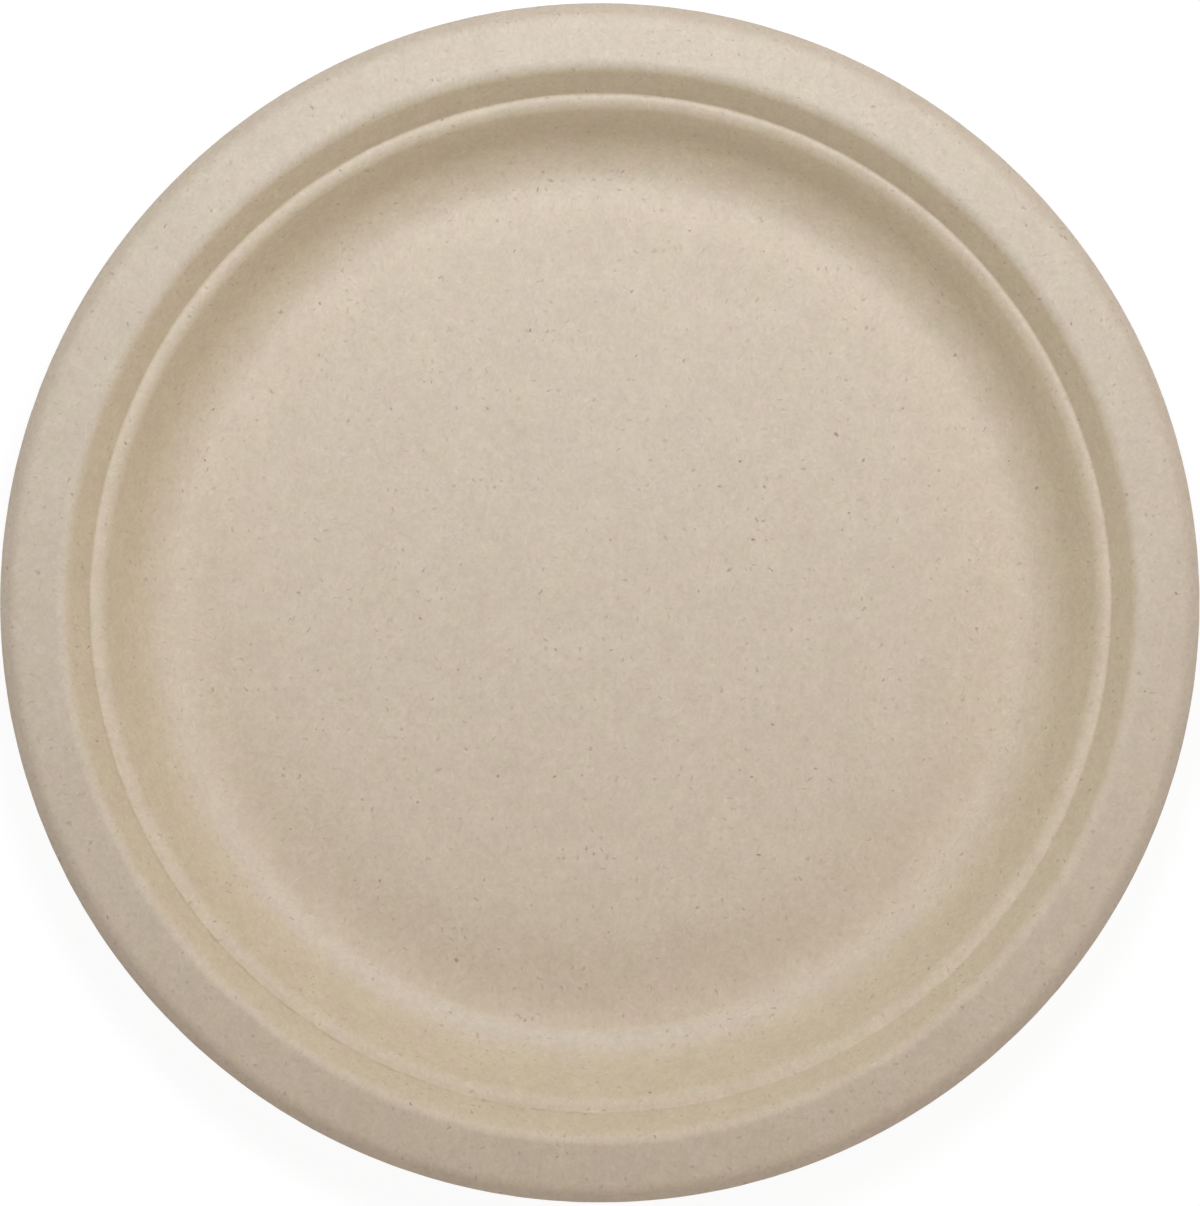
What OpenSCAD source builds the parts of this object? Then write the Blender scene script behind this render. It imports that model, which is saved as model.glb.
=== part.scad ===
// Round disposable plate, pressed in one piece from wet plant-fibre pulp.
// A well whose floor stands a little above its own foot, a narrow ledge with a step behind it,
// a broad rim and a turned-down lip.

/* [Plate] */
// Diameter across the lip
plate_d = 228.6; // [180:0.1:320]
// Height from the table to the top of the rim
plate_h = 20; // [19:0.5:26]
// Thickness of the pressed fibre
wall_t = 0.7; // [0.4:0.1:1.1]

/* [Floor] */
// Rise of the floor's flat middle above the foot
dome_h = 1.2; // [0.2:0.1:2]
// Width of the slope from the middle down to the foot
dome_w = 11.4; // [8:0.1:16]
// Radius over the edge of the middle
dome_r = 160; // [60:10:200]
// Width of the flat foot that the plate rests on
foot_w = 0.8; // [0.4:0.1:3]
// Radius of the bends on both sides of the foot
floor_r = 11; // [4:0.5:12]

/* [Wall] */
// Slope where the bend out of the floor gives way to the wall's own bend, in degrees above level
sweep_angle = 28; // [20:1:32]
// Radius of the wall's own bend
wall_r = 19; // [6:1:19]
// Slope of the straight part of the wall, in degrees above level
wall_angle = 52; // [40:1:65]
// Radius over the shoulder at the top of the wall
shoulder_r = 3.8; // [2:0.1:5]

/* [Ledge and step] */
// Width of the ledge, from the shoulder's corner to the crease
ledge_w = 2.2; // [2:0.1:6]
// Rise of the ledge towards the crease, in degrees
ledge_rise = 4; // [0:0.5:10]
// Radius in the crease at the foot of the step
crease_r = 1.1; // [0.2:0.1:1.5]
// Height of the step, from the crease to the rim
step_h = 6.1; // [4.5:0.1:7]
// Slope of the step, in degrees above level
step_angle = 51; // [40:1:65]

/* [Rim and lip] */
// Width of the rim, from the step's corner to the lip's corner
rim_w = 10; // [8:0.1:14]
// Radius over the corner between the step and the rim
rim_r = 3.6; // [2:0.1:4.5]
// Slope of the rim, in degrees below level
rim_fall = 4; // [1:0.5:8]
// Slope of the lip, in degrees below level
lip_angle = 50; // [40:1:75]
// Drop from the rim's outer corner to the lip's cut edge
lip_h = 2.8; // [2:0.1:4]
// Radius of the bend from the rim into the lip
lip_r = 2.8; // [1.5:0.1:4]

/* [Hidden] */

// Flats round the revolved plate
round_fn = 120;
// Widest gap between a bend and the chords that draw it
chord_gap = 0.085;

// Corners of the food side, worked out inwards from the lip
lip_x = plate_d / 2;
rim_out_x = lip_x - lip_h / tan(lip_angle);
rim_in_x = rim_out_x - rim_w;
crease_x = rim_in_x - step_h / tan(step_angle);
crease_z = plate_h - step_h;
shoulder_x = crease_x - ledge_w;
shoulder_z = crease_z - ledge_w * tan(ledge_rise);

// The bend out of the floor and the wall's own bend meet where the slope is sweep_angle
floor_side = floor_r * tan(sweep_angle / 2);
sweep = floor_side + wall_r * tan((wall_angle - sweep_angle) / 2);
wall_z = wall_t + sweep * sin(sweep_angle);
wall_x = shoulder_x - (shoulder_z - wall_z) / tan(wall_angle);
floor_x = wall_x - sweep * cos(sweep_angle);
foot_x = floor_x - floor_side - foot_w - floor_r * tan(atan2(dome_h, dome_w) / 2);

// The rim is level for a moment at its highest point, where the bend out of the step ends
crown_x = rim_in_x + rim_r * (tan(step_angle / 2) + tan(rim_fall / 2));
rim_out_z = plate_h - (rim_out_x - crown_x) * tan(rim_fall);

// The food side from the centre to the cut edge: each corner and the radius wanted there
FACE = [
    [0, wall_t + dome_h],
    [foot_x - dome_w, wall_t + dome_h],
    [foot_x, wall_t],
    [floor_x, wall_t],
    [wall_x, wall_z],
    [shoulder_x, shoulder_z],
    [crease_x, crease_z],
    [rim_in_x, plate_h],
    [crown_x, plate_h],
    [rim_out_x, rim_out_z],
    [lip_x, rim_out_z - lip_h],
];
FACE_R = [0, dome_r, floor_r, floor_r, wall_r, shoulder_r, crease_r, rim_r, rim_r, lip_r, 0];
LAST = len(FACE) - 1;

function heading(a, b) = (b - a) / norm(b - a);

// A direction turned a quarter turn to its right
function right_of(u) = [u.y, -u.x];

// A vector turned to its left by an angle
function turned(p, angle) = [
    p.x * cos(angle) - p.y * sin(angle),
    p.x * sin(angle) + p.y * cos(angle),
];

// Turn of a path at corner i, in degrees, positive to the left; its two ends don't turn
function turn(path, i) =
    i == 0 || i == LAST
        ? 0
        : let (u = heading(path[i - 1], path[i]), v = heading(path[i], path[i + 1]))
          atan2(u.x * v.y - u.y * v.x, u * v);

// Length that the bend at corner i takes from the straight on each side of it
function taken(i) = FACE_R[i] * tan(abs(turn(FACE, i)) / 2);

// Share of the length wanted by the bends at corners i and i + 1 that the straight between has
function room(i) = min(1, norm(FACE[i + 1] - FACE[i]) / (taken(i) + taken(i + 1)));

// Radius at corner i of the food side, no larger than the straights beside it allow
function face_radius(i) =
    i == 0 || i == LAST ? 0 : FACE_R[i] * min(room(i - 1), room(i));

// The underside's bends share the food side's centres, which keeps the fibre one thickness
function under_radius(i) = max(0, face_radius(i) + sign(turn(FACE, i)) * wall_t);

// Corner i moved a wall's thickness from the food side to the underside, with a mitre
function under_corner(i) =
    let (
        before = heading(FACE[max(i, 1) - 1], FACE[max(i, 1)]),
        after = heading(FACE[min(i, LAST - 1)], FACE[min(i, LAST - 1) + 1])
    )
    FACE[i] + wall_t * (right_of(before) + right_of(after)) / (1 + before * after);

// Points of the arc that rounds corner i of a path
function bend(path, i, r) =
    let (angle = turn(path, i))
    r == 0 || angle == 0
        ? [path[i]]
        : let (
              along = heading(path[i - 1], path[i]),
              start = path[i] - along * r * tan(abs(angle) / 2),
              spoke = sign(angle) * r * right_of(along),
              chords = ceil(abs(angle) / (2 * acos(1 - chord_gap / r)))
          )
          [for (k = [0 : chords]) start - spoke + turned(spoke, angle * k / chords)];

module section() {
    under = [for (i = [0 : LAST]) under_corner(i)];
    face_side = [for (i = [0 : LAST]) each bend(FACE, i, face_radius(i))];
    under_side = [for (i = [LAST : -1 : 0]) let (arc = bend(under, i, under_radius(i)))
        for (k = [len(arc) - 1 : -1 : 0]) arc[k]];
    polygon(concat(face_side, under_side));
}

module plate() {
    color([0.80, 0.75, 0.68])
        rotate_extrude($fn = round_fn)
            section();
}

plate();
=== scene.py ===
import math

import bpy
import numpy as np
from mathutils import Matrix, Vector

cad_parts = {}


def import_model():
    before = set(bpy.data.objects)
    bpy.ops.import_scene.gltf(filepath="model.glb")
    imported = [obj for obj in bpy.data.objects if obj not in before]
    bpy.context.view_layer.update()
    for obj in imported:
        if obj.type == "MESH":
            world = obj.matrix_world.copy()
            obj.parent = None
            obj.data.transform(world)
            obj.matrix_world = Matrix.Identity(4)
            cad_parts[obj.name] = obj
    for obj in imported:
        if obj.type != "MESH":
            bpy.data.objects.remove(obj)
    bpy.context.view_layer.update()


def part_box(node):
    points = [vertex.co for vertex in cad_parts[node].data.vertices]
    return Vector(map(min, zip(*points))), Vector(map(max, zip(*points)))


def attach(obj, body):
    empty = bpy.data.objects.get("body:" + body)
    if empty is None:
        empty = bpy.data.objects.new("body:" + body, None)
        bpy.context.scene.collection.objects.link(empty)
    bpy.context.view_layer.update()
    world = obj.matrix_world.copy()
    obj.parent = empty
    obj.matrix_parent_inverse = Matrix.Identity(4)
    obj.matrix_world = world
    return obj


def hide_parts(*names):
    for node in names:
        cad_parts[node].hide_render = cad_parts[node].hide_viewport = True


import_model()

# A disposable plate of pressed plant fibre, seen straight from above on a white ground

MM = 0.001

# The section, as the plate's solid has it, in metres and degrees
PLATE_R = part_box("plate")[1].x
PLATE_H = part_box("plate")[1].z
WALL_T = 0.7 * MM
DOME_H = 1.2 * MM
DOME_W = 11.4 * MM
DOME_BEND = 160 * MM
FOOT_W = 0.8 * MM
FLOOR_BEND = 11 * MM
SWEEP_ANGLE = 28
WALL_BEND = 19 * MM
WALL_ANGLE = 52
SHOULDER_BEND = 3.8 * MM
LEDGE_W = 2.2 * MM
LEDGE_RISE = 4
CREASE_BEND = 1.1 * MM
STEP_H = 6.1 * MM
STEP_ANGLE = 51
RIM_W = 10 * MM
RIM_BEND = 3.6 * MM
RIM_FALL = 4
LIP_ANGLE = 50
LIP_H = 2.8 * MM
LIP_BEND = 2.8 * MM

# How finely the section and the turn are cut up
SPOKES = 448
BEND_STEP = 5
BEND_RUN = 2.8 * MM
STRAIGHT_STEP = 1.4 * MM
FLOOR_STEP = 5.2 * MM
EDGE_ROUND = 0.14 * MM
EDGE_CHORDS = 3

# What pressing, drying and trimming do to the true form
OFF_OUT = 0.07 * MM
OFF_RIGHT = 0.16 * MM
OFF_UP = -0.06 * MM
OVAL = 0.12 * MM
OVAL_AT = 15
STEP_TOP_OUT = 0.04 * MM
STEP_TOP_UP = 0.3 * MM
STEP_TOP_REACH = 3 * MM
SHOULDER_IN = 0.1 * MM
SHOULDER_OUT = 0.5 * MM
SHOULDER_AT = 50
SHOULDER_REACH = 1.6 * MM
FLOOR_TILT = 0.8 * MM
FLOOR_EDGE_OUT = 0.3 * MM
FLOOR_EDGE_DOWN = 1.3 * MM
FLOOR_EDGE_AT = 262
FLOOR_EDGE_REACH = 2.8 * MM
RIM_SAG = 0.16 * MM
SHEET_SWELL = 0.02 * MM
SWELL_LENGTH = 24 * MM
EDGE_RAG = 0.012 * MM
CREASE_DRIFT = 0.018 * MM
CREASE_REACH = 1.6 * MM
GROOVE_DEPTH = 0.07 * MM
GROOVE_REACH = 0.28 * MM
GROOVE_SIDE = 228
FOLD_DEPTH = 0.2 * MM
FOLD_AT = 260.3
FOLD_SPREAD = 1.6

# The sheet's colours, as shares of the light that they give back. The wall, crease, line, sheen and side tints
# among them are painted light and shade
FIBRE = (0.62, 0.53, 0.42)
# Painted shade and warm bounce light on the steep walls: the deeper tint on the shaded top side, the paler one on
# the lit lower side
WALL_SHADE_TINT = (1.01, 0.94, 0.79)
WALL_LIT_TINT = (0.97, 0.975, 0.905)
LIP_TINT = (1.0, 0.97, 0.99)
# Painted shade along the crease below the step, strongest towards the lower side
CREASE_SHADE_TINT = (0.96, 0.96, 0.95)
CREASE_SHADE_AT = 235
# A thin dark line of painted shade in the crease, and its half width in millimetres
CREASE_LINE_SHADE = (0.82, 0.80, 0.76)
SHADE_LINE_HALF = 0.5
# A painted sheen highlight: a paler, cooler band round the floor's bend on the lower side
SHEEN_HIGHLIGHT_TINT = (1.045, 1.06, 1.12)
SHEEN_HIGHLIGHT_X = 0.727 * PLATE_R
SHEEN_HIGHLIGHT_REACH = 2.6 * MM
SHEEN_HIGHLIGHT_AT = 255
DARK_BITS = (0.19, 0.143, 0.092)
PALE_BITS = (0.74, 0.66, 0.55)
# A painted tint of the light's fall: paler and cooler on the lit top side, warmer towards the shaded lower side
LIT_SIDE_TINT = (0.983, 1.0, 1.04)
SHADED_SIDE_TINT = (1.03, 0.997, 0.975)
TONE_DARK = (0.82, 0.80, 0.77)
TONE_PALE = (1.18, 1.20, 1.23)

# The photograph's frame, in its pixels
PHOTO_W, PHOTO_H = 1200, 1206
PLATE_PX = (599.8, 602.8)
PLATE_R_PX = 600.0


def tan(degrees):
    return math.tan(math.radians(degrees))


def sin(degrees):
    return math.sin(math.radians(degrees))


def cos(degrees):
    return math.cos(math.radians(degrees))


def food_side():
    """The corners of the food side from the centre to the cut edge, each with its bend's radius."""
    lip_x = PLATE_R
    rim_out_x = lip_x - LIP_H / tan(LIP_ANGLE)
    rim_in_x = rim_out_x - RIM_W
    crown_x = rim_in_x + RIM_BEND * (tan(STEP_ANGLE / 2) + tan(RIM_FALL / 2))
    rim_out_z = PLATE_H - (rim_out_x - crown_x) * tan(RIM_FALL)
    crease_x = rim_in_x - STEP_H / tan(STEP_ANGLE)
    crease_z = PLATE_H - STEP_H
    shoulder_x = crease_x - LEDGE_W
    shoulder_z = crease_z - LEDGE_W * tan(LEDGE_RISE)
    floor_side = FLOOR_BEND * tan(SWEEP_ANGLE / 2)
    sweep = floor_side + WALL_BEND * tan((WALL_ANGLE - SWEEP_ANGLE) / 2)
    wall_z = WALL_T + sweep * sin(SWEEP_ANGLE)
    wall_x = shoulder_x - (shoulder_z - wall_z) / tan(WALL_ANGLE)
    floor_x = wall_x - sweep * cos(SWEEP_ANGLE)
    dome_angle = math.degrees(math.atan2(DOME_H, DOME_W))
    foot_x = floor_x - floor_side - FOOT_W - FLOOR_BEND * tan(dome_angle / 2)
    return [
        (0, WALL_T + DOME_H, 0),
        (foot_x - DOME_W, WALL_T + DOME_H, DOME_BEND),
        (foot_x, WALL_T, FLOOR_BEND),
        (floor_x, WALL_T, FLOOR_BEND),
        (wall_x, wall_z, WALL_BEND),
        (shoulder_x, shoulder_z, SHOULDER_BEND),
        (crease_x, crease_z, CREASE_BEND),
        (rim_in_x, PLATE_H, RIM_BEND),
        (crown_x, PLATE_H, RIM_BEND),
        (rim_out_x, rim_out_z, LIP_BEND),
        (lip_x, rim_out_z - LIP_H, 0),
    ]


def heading(a, b):
    return (b - a) / np.linalg.norm(b - a)


def turned(vector, angle):
    c, s = math.cos(angle), math.sin(angle)
    return np.array([vector[0] * c - vector[1] * s, vector[0] * s + vector[1] * c])


def bent(corners):
    """Points and slopes along the corners' path, with every bend an arc and every straight cut up."""
    at = [np.array(c[:2], float) for c in corners]
    radii = [c[2] for c in corners]
    points = [(at[0], 0.0)]
    for i in range(1, len(at)):
        before = heading(at[i - 1], at[i])
        slope = math.atan2(before[1], before[0])
        turn = 0.0
        if i < len(at) - 1:
            after = heading(at[i], at[i + 1])
            turn = math.atan2(before[0] * after[1] - before[1] * after[0], float(before @ after))
        start = at[i] - before * radii[i] * math.tan(abs(turn) / 2)
        last = points[-1][0]
        run = np.linalg.norm(start - last)
        if run > WALL_T / 1000:
            pieces = math.ceil(run / (FLOOR_STEP if i == 1 else STRAIGHT_STEP))
            points += [(last + (start - last) * k / pieces, slope) for k in range(1, pieces + 1)]
        centre = start + math.copysign(radii[i], turn) * np.array([-before[1], before[0]])
        chords = math.ceil(max(math.degrees(abs(turn)) / BEND_STEP, abs(turn) * radii[i] / BEND_RUN) - 0.01)
        for k in range(1, chords + 1):
            angle = turn * k / chords
            points.append((centre + turned(start - centre, angle), slope + angle))
    return points


def cut_edge(point, slope):
    """The trimmed edge from the face to the back, with its two corners worn round."""
    along = np.array([math.cos(slope), math.sin(slope)])
    down = np.array([math.sin(slope), -math.cos(slope)])
    points = []
    for corner, first in ((EDGE_ROUND, 0), (WALL_T - EDGE_ROUND, 90)):
        for k in range(EDGE_CHORDS + 1):
            angle = math.radians(first + 90 * k / EDGE_CHORDS)
            back = EDGE_ROUND * (math.sin(angle) - 1)
            depth = corner - EDGE_ROUND * math.cos(angle)
            points.append((point + along * back + down * depth, slope - angle))
    return points


def section():
    """Points and slopes of the whole section, and where on it the edge and the back begin."""
    face = bent(food_side())
    end, slope = face[-1]
    short = heading(face[-2][0], end) * EDGE_ROUND
    face[-1] = (end - short, slope)
    edge = cut_edge(end, slope)[1:-1]
    back = []
    for point, slope in reversed(face):
        under = point + WALL_T * np.array([math.sin(slope), -math.cos(slope)])
        back.append((under, slope + math.pi))
    return face + edge + back, len(face), len(face) + len(edge)


def ripple(turn, fewest, most, seed):
    """Smooth random values round the plate, about 1 high, made of waves that close on themselves."""
    draw = np.random.default_rng(seed)
    total = np.zeros_like(turn)
    for waves in range(fewest, most + 1):
        total += draw.normal() * np.cos(waves * turn + draw.uniform(0, math.tau))
    return total / math.sqrt((most - fewest + 1) / 2)


def swell(x, y, length, seed, count=30):
    """Smooth random values over the sheet, about 1 high, of the given wave length."""
    draw = np.random.default_rng(seed)
    total = np.zeros_like(x)
    for _ in range(count):
        angle = draw.uniform(0, math.tau)
        pace = math.tau / length * draw.uniform(0.6, 1.6)
        total += np.cos(pace * (x * math.cos(angle) + y * math.sin(angle)) + draw.uniform(0, math.tau))
    return total / math.sqrt(count / 2)


def bell(distance, reach):
    return np.exp(-(distance / reach) ** 2)


def apart(turn, degrees):
    """Degrees round the plate from the given angle, from 0 to 180."""
    gap = np.degrees(turn) - degrees
    return np.abs((gap + 180) % 360 - 180)


def off_true(r, turn):
    """How far outwards each ring lies of its true circle, as the mould is a little oval and off centre."""
    corners = food_side()
    foot_x, floor_x, shoulder_x, rim_x = (corners[i][0] for i in (2, 3, 5, 7))
    inside = np.clip((PLATE_R - r) / (PLATE_R - rim_x), 0, 1) * np.clip(r / floor_x, 0, 1)
    push = OFF_OUT + OFF_RIGHT * np.cos(turn) + OFF_UP * np.sin(turn)
    push = (push + OVAL * np.cos(2 * (turn - math.radians(OVAL_AT)))) * inside
    push = push + (STEP_TOP_OUT + STEP_TOP_UP * np.sin(turn)) * bell(r - rim_x, STEP_TOP_REACH)
    shoulder = SHOULDER_OUT * bell(apart(turn, SHOULDER_AT), 65) - SHOULDER_IN
    push = push + shoulder * bell(r - shoulder_x, SHOULDER_REACH)
    edge = FLOOR_EDGE_OUT + FLOOR_EDGE_DOWN * bell(apart(turn, FLOOR_EDGE_AT), 65)
    return push + edge * bell(r - (foot_x + floor_x) / 2, FLOOR_EDGE_REACH)


def tilted(r, turn):
    """How far the floor's middle stands above its true height, as it dried a little out of level."""
    foot_x = food_side()[2][0]
    middle_x = foot_x - 1.3 * DOME_W
    fade = np.clip((r - middle_x) / (foot_x - middle_x), 0, 1)
    return -FLOOR_TILT * np.sin(turn) * np.clip(r / middle_x, 0, 1) * 0.5 * (1 + np.cos(math.pi * fade))


def weathered(r, z, turn):
    """The section's points at every turn, moved as pressing, drying and trimming move the sheet."""
    corners = food_side()
    shoulder_x = corners[5][0]
    crease_x = corners[6][0]
    rim = np.clip((r - shoulder_x) / (PLATE_R - shoulder_x), 0, 1)
    waves = ripple(turn, 2, 7, seed=3)
    sag = RIM_SAG * rim ** 2 * (waves - waves.max()) / np.ptp(waves)
    drift = CREASE_DRIFT * ripple(turn, 6, 40, seed=5) * bell(r - crease_x, CREASE_REACH)
    sharp = 0.35 + 0.65 * bell(apart(turn, GROOVE_SIDE), 55)
    groove = GROOVE_DEPTH * sharp * (1 + 0.35 * ripple(turn, 20, 60, seed=8))
    fold = FOLD_DEPTH * bell(apart(turn, FOLD_AT), FOLD_SPREAD)
    dent = (groove + fold) * bell(r - crease_x - 0.1 * MM, GROOVE_REACH)
    rag = EDGE_RAG * np.clip(ripple(turn, 40, 160, seed=11) - 1, -3, 0) * bell(PLATE_R - r, 0.5 * MM)
    x, y = r * np.cos(turn), r * np.sin(turn)
    risen = np.clip(z / WALL_T - 1, 0, 1) * np.clip((PLATE_R - r) / (4 * MM), 0, 1)
    lift = SHEET_SWELL * swell(x, y, SWELL_LENGTH, seed=17) * risen
    headroom = PLATE_H - z
    lift = np.minimum(lift, headroom)
    return r + drift + rag + off_true(r, turn), z + sag - dent + lift + tilted(r, turn)


def plate_mesh():
    """One closed skin: the food side, the cut edge and the back, as rings of points round the axis."""
    points, edge_from, back_from = section()
    rings = len(points)
    turn = np.arange(SPOKES) * math.tau / SPOKES
    radius = np.array([p[0] for p, a in points])
    height = np.array([p[1] for p, a in points])
    slope = np.array([a for p, a in points])
    r, z = weathered(radius[:, None] + 0 * turn, height[:, None] + 0 * turn, turn[None] + 0 * radius[:, None])
    z = np.clip(z, 0, PLATE_H)
    r = np.minimum(r, PLATE_R)
    verts = np.stack([r * np.cos(turn), r * np.sin(turn), z], 2)[1:-1].reshape(-1, 3)
    verts = np.concatenate([[[0, 0, height[0]]], verts, [[0, 0, height[-1]]]])

    k = np.arange(SPOKES)
    following = (k + 1) % SPOKES
    starts = 1 + SPOKES * np.arange(rings - 2)
    bands = [np.stack([a + k, a + SPOKES + k, a + SPOKES + following, a + following], 1) for a in starts[:-1]]
    quads = np.concatenate(bands)
    last_point = len(verts) - 1
    top = np.stack([0 * k, starts[0] + k, starts[0] + following], 1)
    under = np.stack([0 * k + last_point, starts[-1] + following, starts[-1] + k], 1)

    mesh = bpy.data.meshes.new("plate_fibre")
    mesh.from_pydata(verts.tolist(), [], quads.tolist() + top.tolist() + under.tolist())
    mesh.polygons.foreach_set("use_smooth", np.ones(len(mesh.polygons), bool))
    is_back = np.repeat(np.arange(1, rings - 2) >= back_from - 1, SPOKES)
    side = np.concatenate([is_back, np.zeros(SPOKES, bool), np.ones(SPOKES, bool)])
    mesh.polygons.foreach_set("material_index", side.astype(np.int32))
    lay_flat(mesh, radius, height, turn, back_from)
    mark_steepness(mesh, radius, slope, edge_from, back_from)
    mesh.update()
    return mesh


def ring_values(values):
    """One value for each point of the mesh, from one value for each ring."""
    return np.concatenate([[values[0]], np.repeat(values[1:-1], SPOKES), [values[-1]]])


def lay_flat(mesh, radius, height, turn, back_from):
    """Lays the sheet out flat by its length along the section, the back beside the face, in metres."""
    steps = np.hypot(np.diff(radius), np.diff(height))
    along = np.concatenate([[0], np.cumsum(steps)])
    back = np.arange(len(radius)) >= back_from
    reach = np.where(back, along[-1] - along, along)
    flat = np.stack([reach[:, None] * np.cos(turn), reach[:, None] * np.sin(turn)], 2)[1:-1].reshape(-1, 2)
    flat = np.concatenate([[[0, 0]], flat, [[0, 0]]])
    corner = np.zeros(len(mesh.loops), np.int32)
    mesh.loops.foreach_get("vertex_index", corner)
    face_of = np.zeros(len(mesh.polygons), np.int32)
    mesh.polygons.foreach_get("material_index", face_of)
    counts = np.zeros(len(mesh.polygons), np.int32)
    mesh.polygons.foreach_get("loop_total", counts)
    aside = np.repeat(face_of, counts) * 2.5 * PLATE_R
    uv = flat[corner]
    uv[:, 0] += aside
    layer = mesh.uv_layers.new(name="Fibre")
    layer.data.foreach_set("uv", uv.astype(np.float32).ravel())


def mark_steepness(mesh, radius, slope, edge_from, back_from):
    """Keeps with each point how steep the sheet is there, inside the rim and on the lip apart, and where shade
    along the crease and a sheen highlight are painted.
    """
    rim_x = food_side()[7][0]
    steep = np.clip(np.abs(np.sin(slope)), 0, 1)
    inner = np.where(radius < rim_x, steep, 0)
    outer = np.where(radius >= PLATE_R - 4 * MM, steep, 0)
    for name, values in (("wall", inner), ("lip", outer)):
        layer = mesh.attributes.new(name, "FLOAT", "POINT")
        layer.data.foreach_set("value", ring_values(values).astype(np.float32))
    # Bands where shade along the crease and a sheen highlight are painted into the colour
    crease_x = food_side()[6][0]
    turn = np.arange(SPOKES) * math.tau / SPOKES
    dark = bell(apart(turn, CREASE_SHADE_AT), 80)
    bands = {
        "crease": bell(radius - crease_x - 0.8 * MM, 1.5 * MM)[1:-1, None] * dark,
        "painted_sheen": bell(radius - SHEEN_HIGHLIGHT_X, SHEEN_HIGHLIGHT_REACH)[1:-1, None] * bell(apart(turn, SHEEN_HIGHLIGHT_AT), 75),
    }
    for name, values in bands.items():
        layer = mesh.attributes.new(name, "FLOAT", "POINT")
        layer.data.foreach_set("value", np.concatenate([[0], values.ravel(), [0]]).astype(np.float32))


def feed(tree, socket, value):
    if isinstance(value, bpy.types.NodeSocket):
        tree.links.new(value, socket)
    else:
        socket.default_value = value


def node(tree, kind, inputs, **settings):
    """Adds one node with its settings, and feeds its inputs by name or, from a list, in order."""
    made = tree.nodes.new("ShaderNode" + kind)
    for name, value in settings.items():
        setattr(made, name, value)
    pairs = inputs.items() if isinstance(inputs, dict) else enumerate(inputs)
    for key, value in pairs:
        feed(tree, made.inputs[key], value)
    return made


def maths(tree, operation, *values):
    return node(tree, "Math", values, operation=operation).outputs[0]


def vectors(tree, operation, *values):
    return node(tree, "VectorMath", values, operation=operation).outputs[0]


def faded(tree, value, full, none):
    """1 where the value is at full, 0 where it is at none, and smooth between."""
    inputs = {"Value": value, "From Min": none, "From Max": full}
    return node(tree, "MapRange", inputs, interpolation_type="SMOOTHSTEP").outputs[0]


def mixed(tree, share, a, b, blend="MIX"):
    made = node(tree, "Mix", {}, data_type="RGBA", blend_type=blend)
    for key, value in ((0, share), (6, a), (7, b)):
        feed(tree, made.inputs[key], value if not isinstance(value, tuple) else (*value, 1))
    return made.outputs[2]


def cloudy(tree, at, size, detail, roughness, seed):
    """Noise from 0 to 1, about a half on average, with lumps of the given size in millimetres."""
    shifted = vectors(tree, "ADD", at, (seed, 0.7 * seed, 0))
    inputs = {"Vector": shifted, "Scale": 1 / size, "Detail": detail, "Roughness": roughness}
    return node(tree, "TexNoise", inputs, noise_dimensions="2D").outputs[0]


def strewn(tree, at, cell, length, width, seed, curl, dark, pale=0.0, skew=1.0):
    """Marks strewn over the sheet, in millimetres: each point's strength in the dark or pale mark it lies on.

    The shares dark and pale of the cells hold a mark. Marks lie every way and differ in length,
    curl and strength, and a larger skew leaves fewer strong ones.
    """
    shifted = vectors(tree, "ADD", at, (seed, 0.7 * seed, 0))
    cells = node(tree, "TexVoronoi", {"Vector": shifted, "Scale": 1 / cell}, voronoi_dimensions="2D")
    chance = node(tree, "SeparateColor", [cells.outputs["Color"]])
    offset = vectors(tree, "SUBTRACT", shifted, cells.outputs["Position"])
    angle = maths(tree, "MULTIPLY", chance.outputs[0], math.tau)
    turned_offset = node(tree, "VectorRotate", {"Vector": offset, "Angle": angle}, rotation_type="Z_AXIS")
    part = node(tree, "SeparateXYZ", [turned_offset.outputs[0]])
    lengthwise = part.outputs[0]
    own_bow = maths(tree, "FRACT", maths(tree, "MULTIPLY", chance.outputs[0], 37.0))
    bow = scaled(tree, own_bow, -curl, curl)
    square = maths(tree, "MULTIPLY", lengthwise, lengthwise)
    sideways = maths(tree, "MULTIPLY_ADD", square, bow, part.outputs[1])
    own_length = scaled(tree, chance.outputs[2], 0.25 * length, 0.75 * length)
    u = maths(tree, "DIVIDE", lengthwise, own_length)
    v = maths(tree, "DIVIDE", sideways, 0.5 * width)
    outward = maths(tree, "SQRT", maths(tree, "MULTIPLY_ADD", u, u, maths(tree, "MULTIPLY", v, v)))
    inside = faded(tree, outward, 0.5, 1.25)
    strengths = []
    for end, share in ((0.0, dark), (1.0, pale)):
        if share:
            inputs = {"Value": chance.outputs[1], "From Min": abs(end - share), "From Max": end}
            rank = maths(tree, "POWER", node(tree, "MapRange", inputs).outputs[0], skew)
            strengths.append(maths(tree, "MULTIPLY", inside, rank))
    return strengths


def attribute(tree, name):
    return node(tree, "Attribute", {}, attribute_name=name).outputs["Fac"]


def scaled(tree, value, low, high):
    """Spreads a value from 0 to 1 over the range from low to high, without a limit."""
    inputs = {"Value": value, "To Min": low, "To Max": high}
    return node(tree, "MapRange", inputs, clamp=False).outputs[0]


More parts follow.
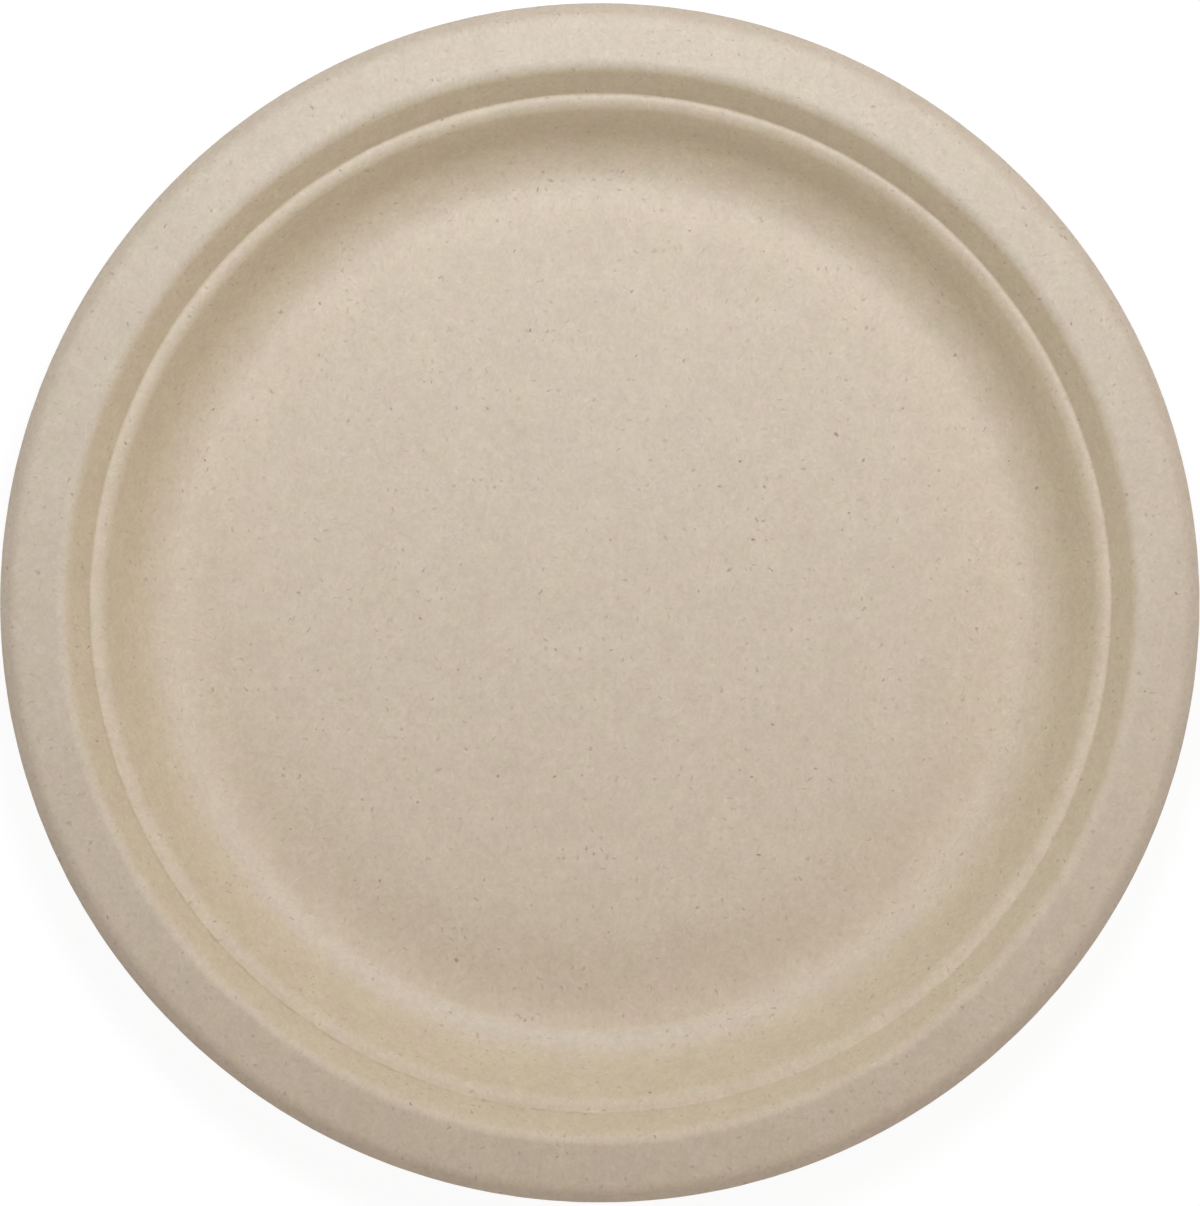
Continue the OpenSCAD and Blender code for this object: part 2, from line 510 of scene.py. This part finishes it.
def felted(tree, at, cell, length, width, seed):
    """Streaks of fibre from 0 to 1 that change their direction from one small patch to the next."""
    shifted = vectors(tree, "ADD", at, (seed, 0.7 * seed, 0))
    cells = node(tree, "TexVoronoi", {"Vector": shifted, "Scale": 1 / cell}, voronoi_dimensions="2D")
    chance = node(tree, "SeparateColor", [cells.outputs["Color"]])
    angle = maths(tree, "MULTIPLY", chance.outputs[0], math.tau)
    lying = node(tree, "VectorRotate", {"Vector": shifted, "Angle": angle}, rotation_type="Z_AXIS").outputs[0]
    inputs = {"Vector": vectors(tree, "MULTIPLY", lying, (1 / length, 1 / width, 0)), "Scale": 1.0, "Detail": 1.0}
    return node(tree, "TexNoise", inputs, noise_dimensions="2D").outputs[0]


def wavering(tree, at, size, amount, seed):
    """The same places, each pushed a little to one side, so that what is drawn on them has no clean line."""
    shifted = vectors(tree, "ADD", at, (seed, 0.7 * seed, 0))
    inputs = {"Vector": shifted, "Scale": 1 / size, "Detail": 1.0}
    push = node(tree, "TexNoise", inputs, noise_dimensions="2D").outputs["Color"]
    push = vectors(tree, "MULTIPLY", vectors(tree, "SUBTRACT", push, (0.5, 0.5, 0.5)), (amount, amount, 0))
    return vectors(tree, "ADD", at, push)


def sheet_length(x):
    """Length along the food side from the centre out to the given radius."""
    points, face_end, _ = section()
    path = np.array([point for point, slope in points[:face_end]])
    steps = np.hypot(np.diff(path[:, 0]), np.diff(path[:, 1]))
    return float(np.interp(x, path[:, 0], np.concatenate([[0], np.cumsum(steps)])))


def crease_shade_line(tree, at):
    """1 on a thin crooked line round the crease, where a dark line of shade is painted, and 0 away from it."""
    out = node(tree, "VectorMath", [at], operation="LENGTH").outputs["Value"]
    crook = maths(tree, "MULTIPLY_ADD", cloudy(tree, at, 3.0, 2.0, 0.6, 7), 0.9, -0.45)
    middle = sheet_length(food_side()[6][0]) / MM + 0.3
    gap = maths(tree, "ABSOLUTE", maths(tree, "SUBTRACT", maths(tree, "ADD", out, crook), middle))
    broken = scaled(tree, cloudy(tree, at, 4.0, 2.0, 0.6, 13), -0.9, 2.6)
    return maths(tree, "MULTIPLY", faded(tree, gap, 0.0, 1.3 * SHADE_LINE_HALF), broken)


def sheet_colour(tree, at):
    """The pulp's colour: faint tints and a fine mottle, felted fibres, and dark bits in clumps, with painted
    light and shade: shade and bounce on the walls, a lit-to-shaded tint across the sheet, shade and a dark line
    along the crease, and a sheen highlight round the lower floor bend.
    """
    wall = maths(tree, "POWER", attribute(tree, "wall"), 1.5)
    lip = maths(tree, "POWER", attribute(tree, "lip"), 2.0)
    # Painted tint of the light's fall across the sheet: cooler on the lit top side, warmer towards the shaded
    # lower side
    across = node(tree, "SeparateXYZ", [at]).outputs[1]
    lit_to_shaded = node(tree, "MapRange", {"Value": across, "From Min": 115.0, "From Max": -115.0}).outputs[0]
    colour = mixed(tree, 1.0, FIBRE, mixed(tree, lit_to_shaded, LIT_SIDE_TINT, SHADED_SIDE_TINT), "MULTIPLY")
    # Painted shade and bounce on the steep walls, deeper on the shaded top side and paler on the lit lower side
    wall_shade, light = (tuple(a * b for a, b in zip(FIBRE, tint)) for tint in (WALL_SHADE_TINT, WALL_LIT_TINT))
    colour = mixed(tree, wall, colour, mixed(tree, lit_to_shaded, wall_shade, light))
    colour = mixed(tree, lip, colour, tuple(a * b for a, b in zip(FIBRE, LIP_TINT)))

    # Painted shade along the crease, strongest towards the lower side
    crease = attribute(tree, "crease")
    colour = mixed(tree, crease, colour, mixed(tree, 1.0, colour, CREASE_SHADE_TINT, "MULTIPLY"))
    # Painted sheen highlight round the floor's bend on the lower side
    colour = mixed(tree, attribute(tree, "painted_sheen"), colour, tuple(a * b for a, b in zip(FIBRE, SHEEN_HIGHLIGHT_TINT)))
    # A thin dark line of painted shade in the crease
    line = maths(tree, "MULTIPLY", crease_shade_line(tree, at), maths(tree, "POWER", crease, 3.0))
    colour = mixed(tree, line, colour, mixed(tree, 1.0, colour, CREASE_LINE_SHADE, "MULTIPLY"))

    tint = faded(tree, cloudy(tree, at, 6.5, 3.0, 0.55, 11), 0.72, 0.28)
    colour = mixed(tree, 1.0, colour, mixed(tree, tint, (0.997, 1.012, 0.979), (1.006, 0.993, 0.998)), "MULTIPLY")

    loose = wavering(tree, at, 0.9, 0.9, 19)
    clumps = cloudy(tree, at, 8.0, 2.0, 0.6, 29)
    mottle = cloudy(tree, at, 2.2, 4.0, 0.66, 37)
    felt = felted(tree, loose, 2.2, 1.6, 0.55, 41)
    tone = maths(tree, "MULTIPLY_ADD", felt, 0.5, maths(tree, "MULTIPLY_ADD", mottle, 0.5, -0.15))
    tone = maths(tree, "MULTIPLY_ADD", clumps, 0.3, tone)
    colour = mixed(tree, 1.0, colour, mixed(tree, tone, TONE_DARK, TONE_PALE), "MULTIPLY")

    straws, flecks = strewn(tree, loose, 1.9, 0.95, 0.48, 59, 0.4, dark=0.57, pale=0.38, skew=1.7)
    thick = maths(tree, "MULTIPLY", straws, scaled(tree, clumps, -0.35, 0.85))
    colour = mixed(tree, thick, colour, DARK_BITS)
    colour = mixed(tree, maths(tree, "MULTIPLY", flecks, 0.38), colour, PALE_BITS)
    specks, = strewn(tree, loose, 5.0, 0.66, 0.54, 83, 0.3, dark=0.25, skew=2.0)
    loud = maths(tree, "MULTIPLY", specks, maths(tree, "MULTIPLY_ADD", wall, -0.3, 1.0))
    return mixed(tree, maths(tree, "MULTIPLY", loud, 0.7), colour, DARK_BITS)


def fibre_material(name, screen_print):
    """Pressed pulp, with the print of the mould's wire screen on the side that lay on it."""
    mat = bpy.data.materials.new(name)
    mat.use_nodes = True
    tree = mat.node_tree
    bsdf = tree.nodes["Principled BSDF"]
    flat = node(tree, "UVMap", {}, uv_map="Fibre").outputs[0]
    at = vectors(tree, "MULTIPLY", flat, (1000, 1000, 0))
    feed(tree, bsdf.inputs["Base Color"], sheet_colour(tree, at))

    grain = cloudy(tree, at, 1.2, 3.0, 0.65, 97)
    feed(tree, bsdf.inputs["Roughness"], scaled(tree, grain, 0.54, 0.74))
    height = grain
    if screen_print:
        height = maths(tree, "ADD", height, woven(tree, at))
    bump = node(tree, "Bump", {"Height": height, "Strength": 1.0, "Distance": 0.03 * MM})
    feed(tree, bsdf.inputs["Normal"], bump.outputs[0])
    return mat


def woven(tree, at, pitch=0.62):
    """The height of a plain wire weave, in waves of the given pitch in millimetres."""
    part = node(tree, "SeparateXYZ", [at])
    waves = [maths(tree, "SINE", maths(tree, "MULTIPLY", part.outputs[i], math.tau / pitch)) for i in (0, 1)]
    return maths(tree, "MULTIPLY", maths(tree, "MULTIPLY", waves[0], waves[1]), 1.1)


def floor():
    """A pale floor that shows white to the camera and keeps a faint shadow."""
    bpy.ops.mesh.primitive_plane_add(size=6, location=(0, 0, -0.0002))
    plane = bpy.context.object
    plane.name = "floor"
    mat = bpy.data.materials.new("floor")
    mat.use_nodes = True
    tree = mat.node_tree
    tree.nodes.remove(tree.nodes["Principled BSDF"])
    out = tree.nodes["Material Output"]
    seen = node(tree, "LightPath", {})
    direct = maths(tree, "MAXIMUM", seen.outputs["Is Camera Ray"], seen.outputs["Is Glossy Ray"])
    direct = maths(tree, "MAXIMUM", direct, seen.outputs["Is Transmission Ray"])
    plain = node(tree, "BsdfDiffuse", {"Color": (0.75, 0.75, 0.75, 1)}).outputs[0]
    faint = node(tree, "BsdfDiffuse", {"Color": (0.1, 0.1, 0.1, 1)}).outputs[0]
    glow = node(tree, "Emission", {"Color": (1, 1, 1, 1), "Strength": 0.95}).outputs[0]
    bright = node(tree, "AddShader", [glow, faint]).outputs[0]
    shown = node(tree, "MixShader", [direct, plain, bright]).outputs[0]
    behind = node(tree, "NewGeometry", {}).outputs["Backfacing"]
    clear = node(tree, "BsdfTransparent", {}).outputs[0]
    feed(tree, out.inputs["Surface"], node(tree, "MixShader", [behind, shown, clear]).outputs[0])
    plane.data.materials.append(mat)


def camera():
    data = bpy.data.cameras.new("camera")
    data.type = "ORTHO"
    pixel = PLATE_R / PLATE_R_PX
    data.ortho_scale = pixel * max(PHOTO_W, PHOTO_H)
    data.clip_start = 0.01
    cam = bpy.data.objects.new("camera", data)
    bpy.context.scene.collection.objects.link(cam)
    cam.location = ((PHOTO_W / 2 - PLATE_PX[0]) * pixel, (PLATE_PX[1] - PHOTO_H / 2) * pixel, 0.3)
    bpy.context.scene.camera = cam


def lamp(name, place, size, power, tint=(1, 1, 1)):
    """A soft lamp aimed at the plate. A size of two numbers makes it a strip, and of one a disc."""
    data = bpy.data.lights.new(name, "AREA")
    if isinstance(size, tuple):
        data.shape = "RECTANGLE"
        data.size, data.size_y = size
    else:
        data.shape = "DISK"
        data.size = size
    data.energy = power
    data.color = tint
    ob = bpy.data.objects.new(name, data)
    bpy.context.scene.collection.objects.link(ob)
    ob.location = place
    ob.rotation_mode = "QUATERNION"
    ob.rotation_quaternion = (-Vector(place)).to_track_quat("-Z", "Y")
    ob.visible_camera = False
    return ob


def world(level):
    """White to the camera, and an even light of the given level on the object."""
    sky = bpy.data.worlds.new("world")
    bpy.context.scene.world = sky
    sky.use_nodes = True
    tree = sky.node_tree
    even = tree.nodes["Background"]
    even.inputs["Color"].default_value = (1, 1, 1, 1)
    even.inputs["Strength"].default_value = level
    white = node(tree, "Background", {"Color": (1, 1, 1, 1), "Strength": 1.0})
    seen = node(tree, "LightPath", {})
    direct = maths(tree, "MAXIMUM", seen.outputs["Is Camera Ray"], seen.outputs["Is Glossy Ray"])
    direct = maths(tree, "MAXIMUM", direct, seen.outputs["Is Transmission Ray"])
    both = node(tree, "MixShader", [direct, even.outputs[0], white.outputs[0]])
    feed(tree, tree.nodes["World Output"].inputs["Surface"], both.outputs[0])


camera()
plate = bpy.data.objects.new("plate_fibre", plate_mesh())
bpy.context.scene.collection.objects.link(plate)
plate.data.materials.append(fibre_material("fibre_face", False))
plate.data.materials.append(fibre_material("fibre_back", True))
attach(plate, "root")
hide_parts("plate")
floor()
lamp("near_lamp", (0, 0.18, 0.45), 0.25, 1.875, (0.97, 1.0, 1.02))
lamp("side_lamp", (0.5, 0.35, 1.2), 0.4, 2.6, (1.2, 1.0, 0.87))
lamp("front_strip", (0, -0.4, 0.008), (0.9, 0.014), 0.56, (1.1, 1.0, 0.92))
lamp("right_strip", (0.4, 0, 0.008), (0.9, 0.014), 0.4)
lamp("left_strip", (-0.4, 0, 0.008), (0.9, 0.014), 0.41, (1.05, 1.0, 0.95))
world(0.0)
bpy.context.scene.view_settings.view_transform = "Standard"
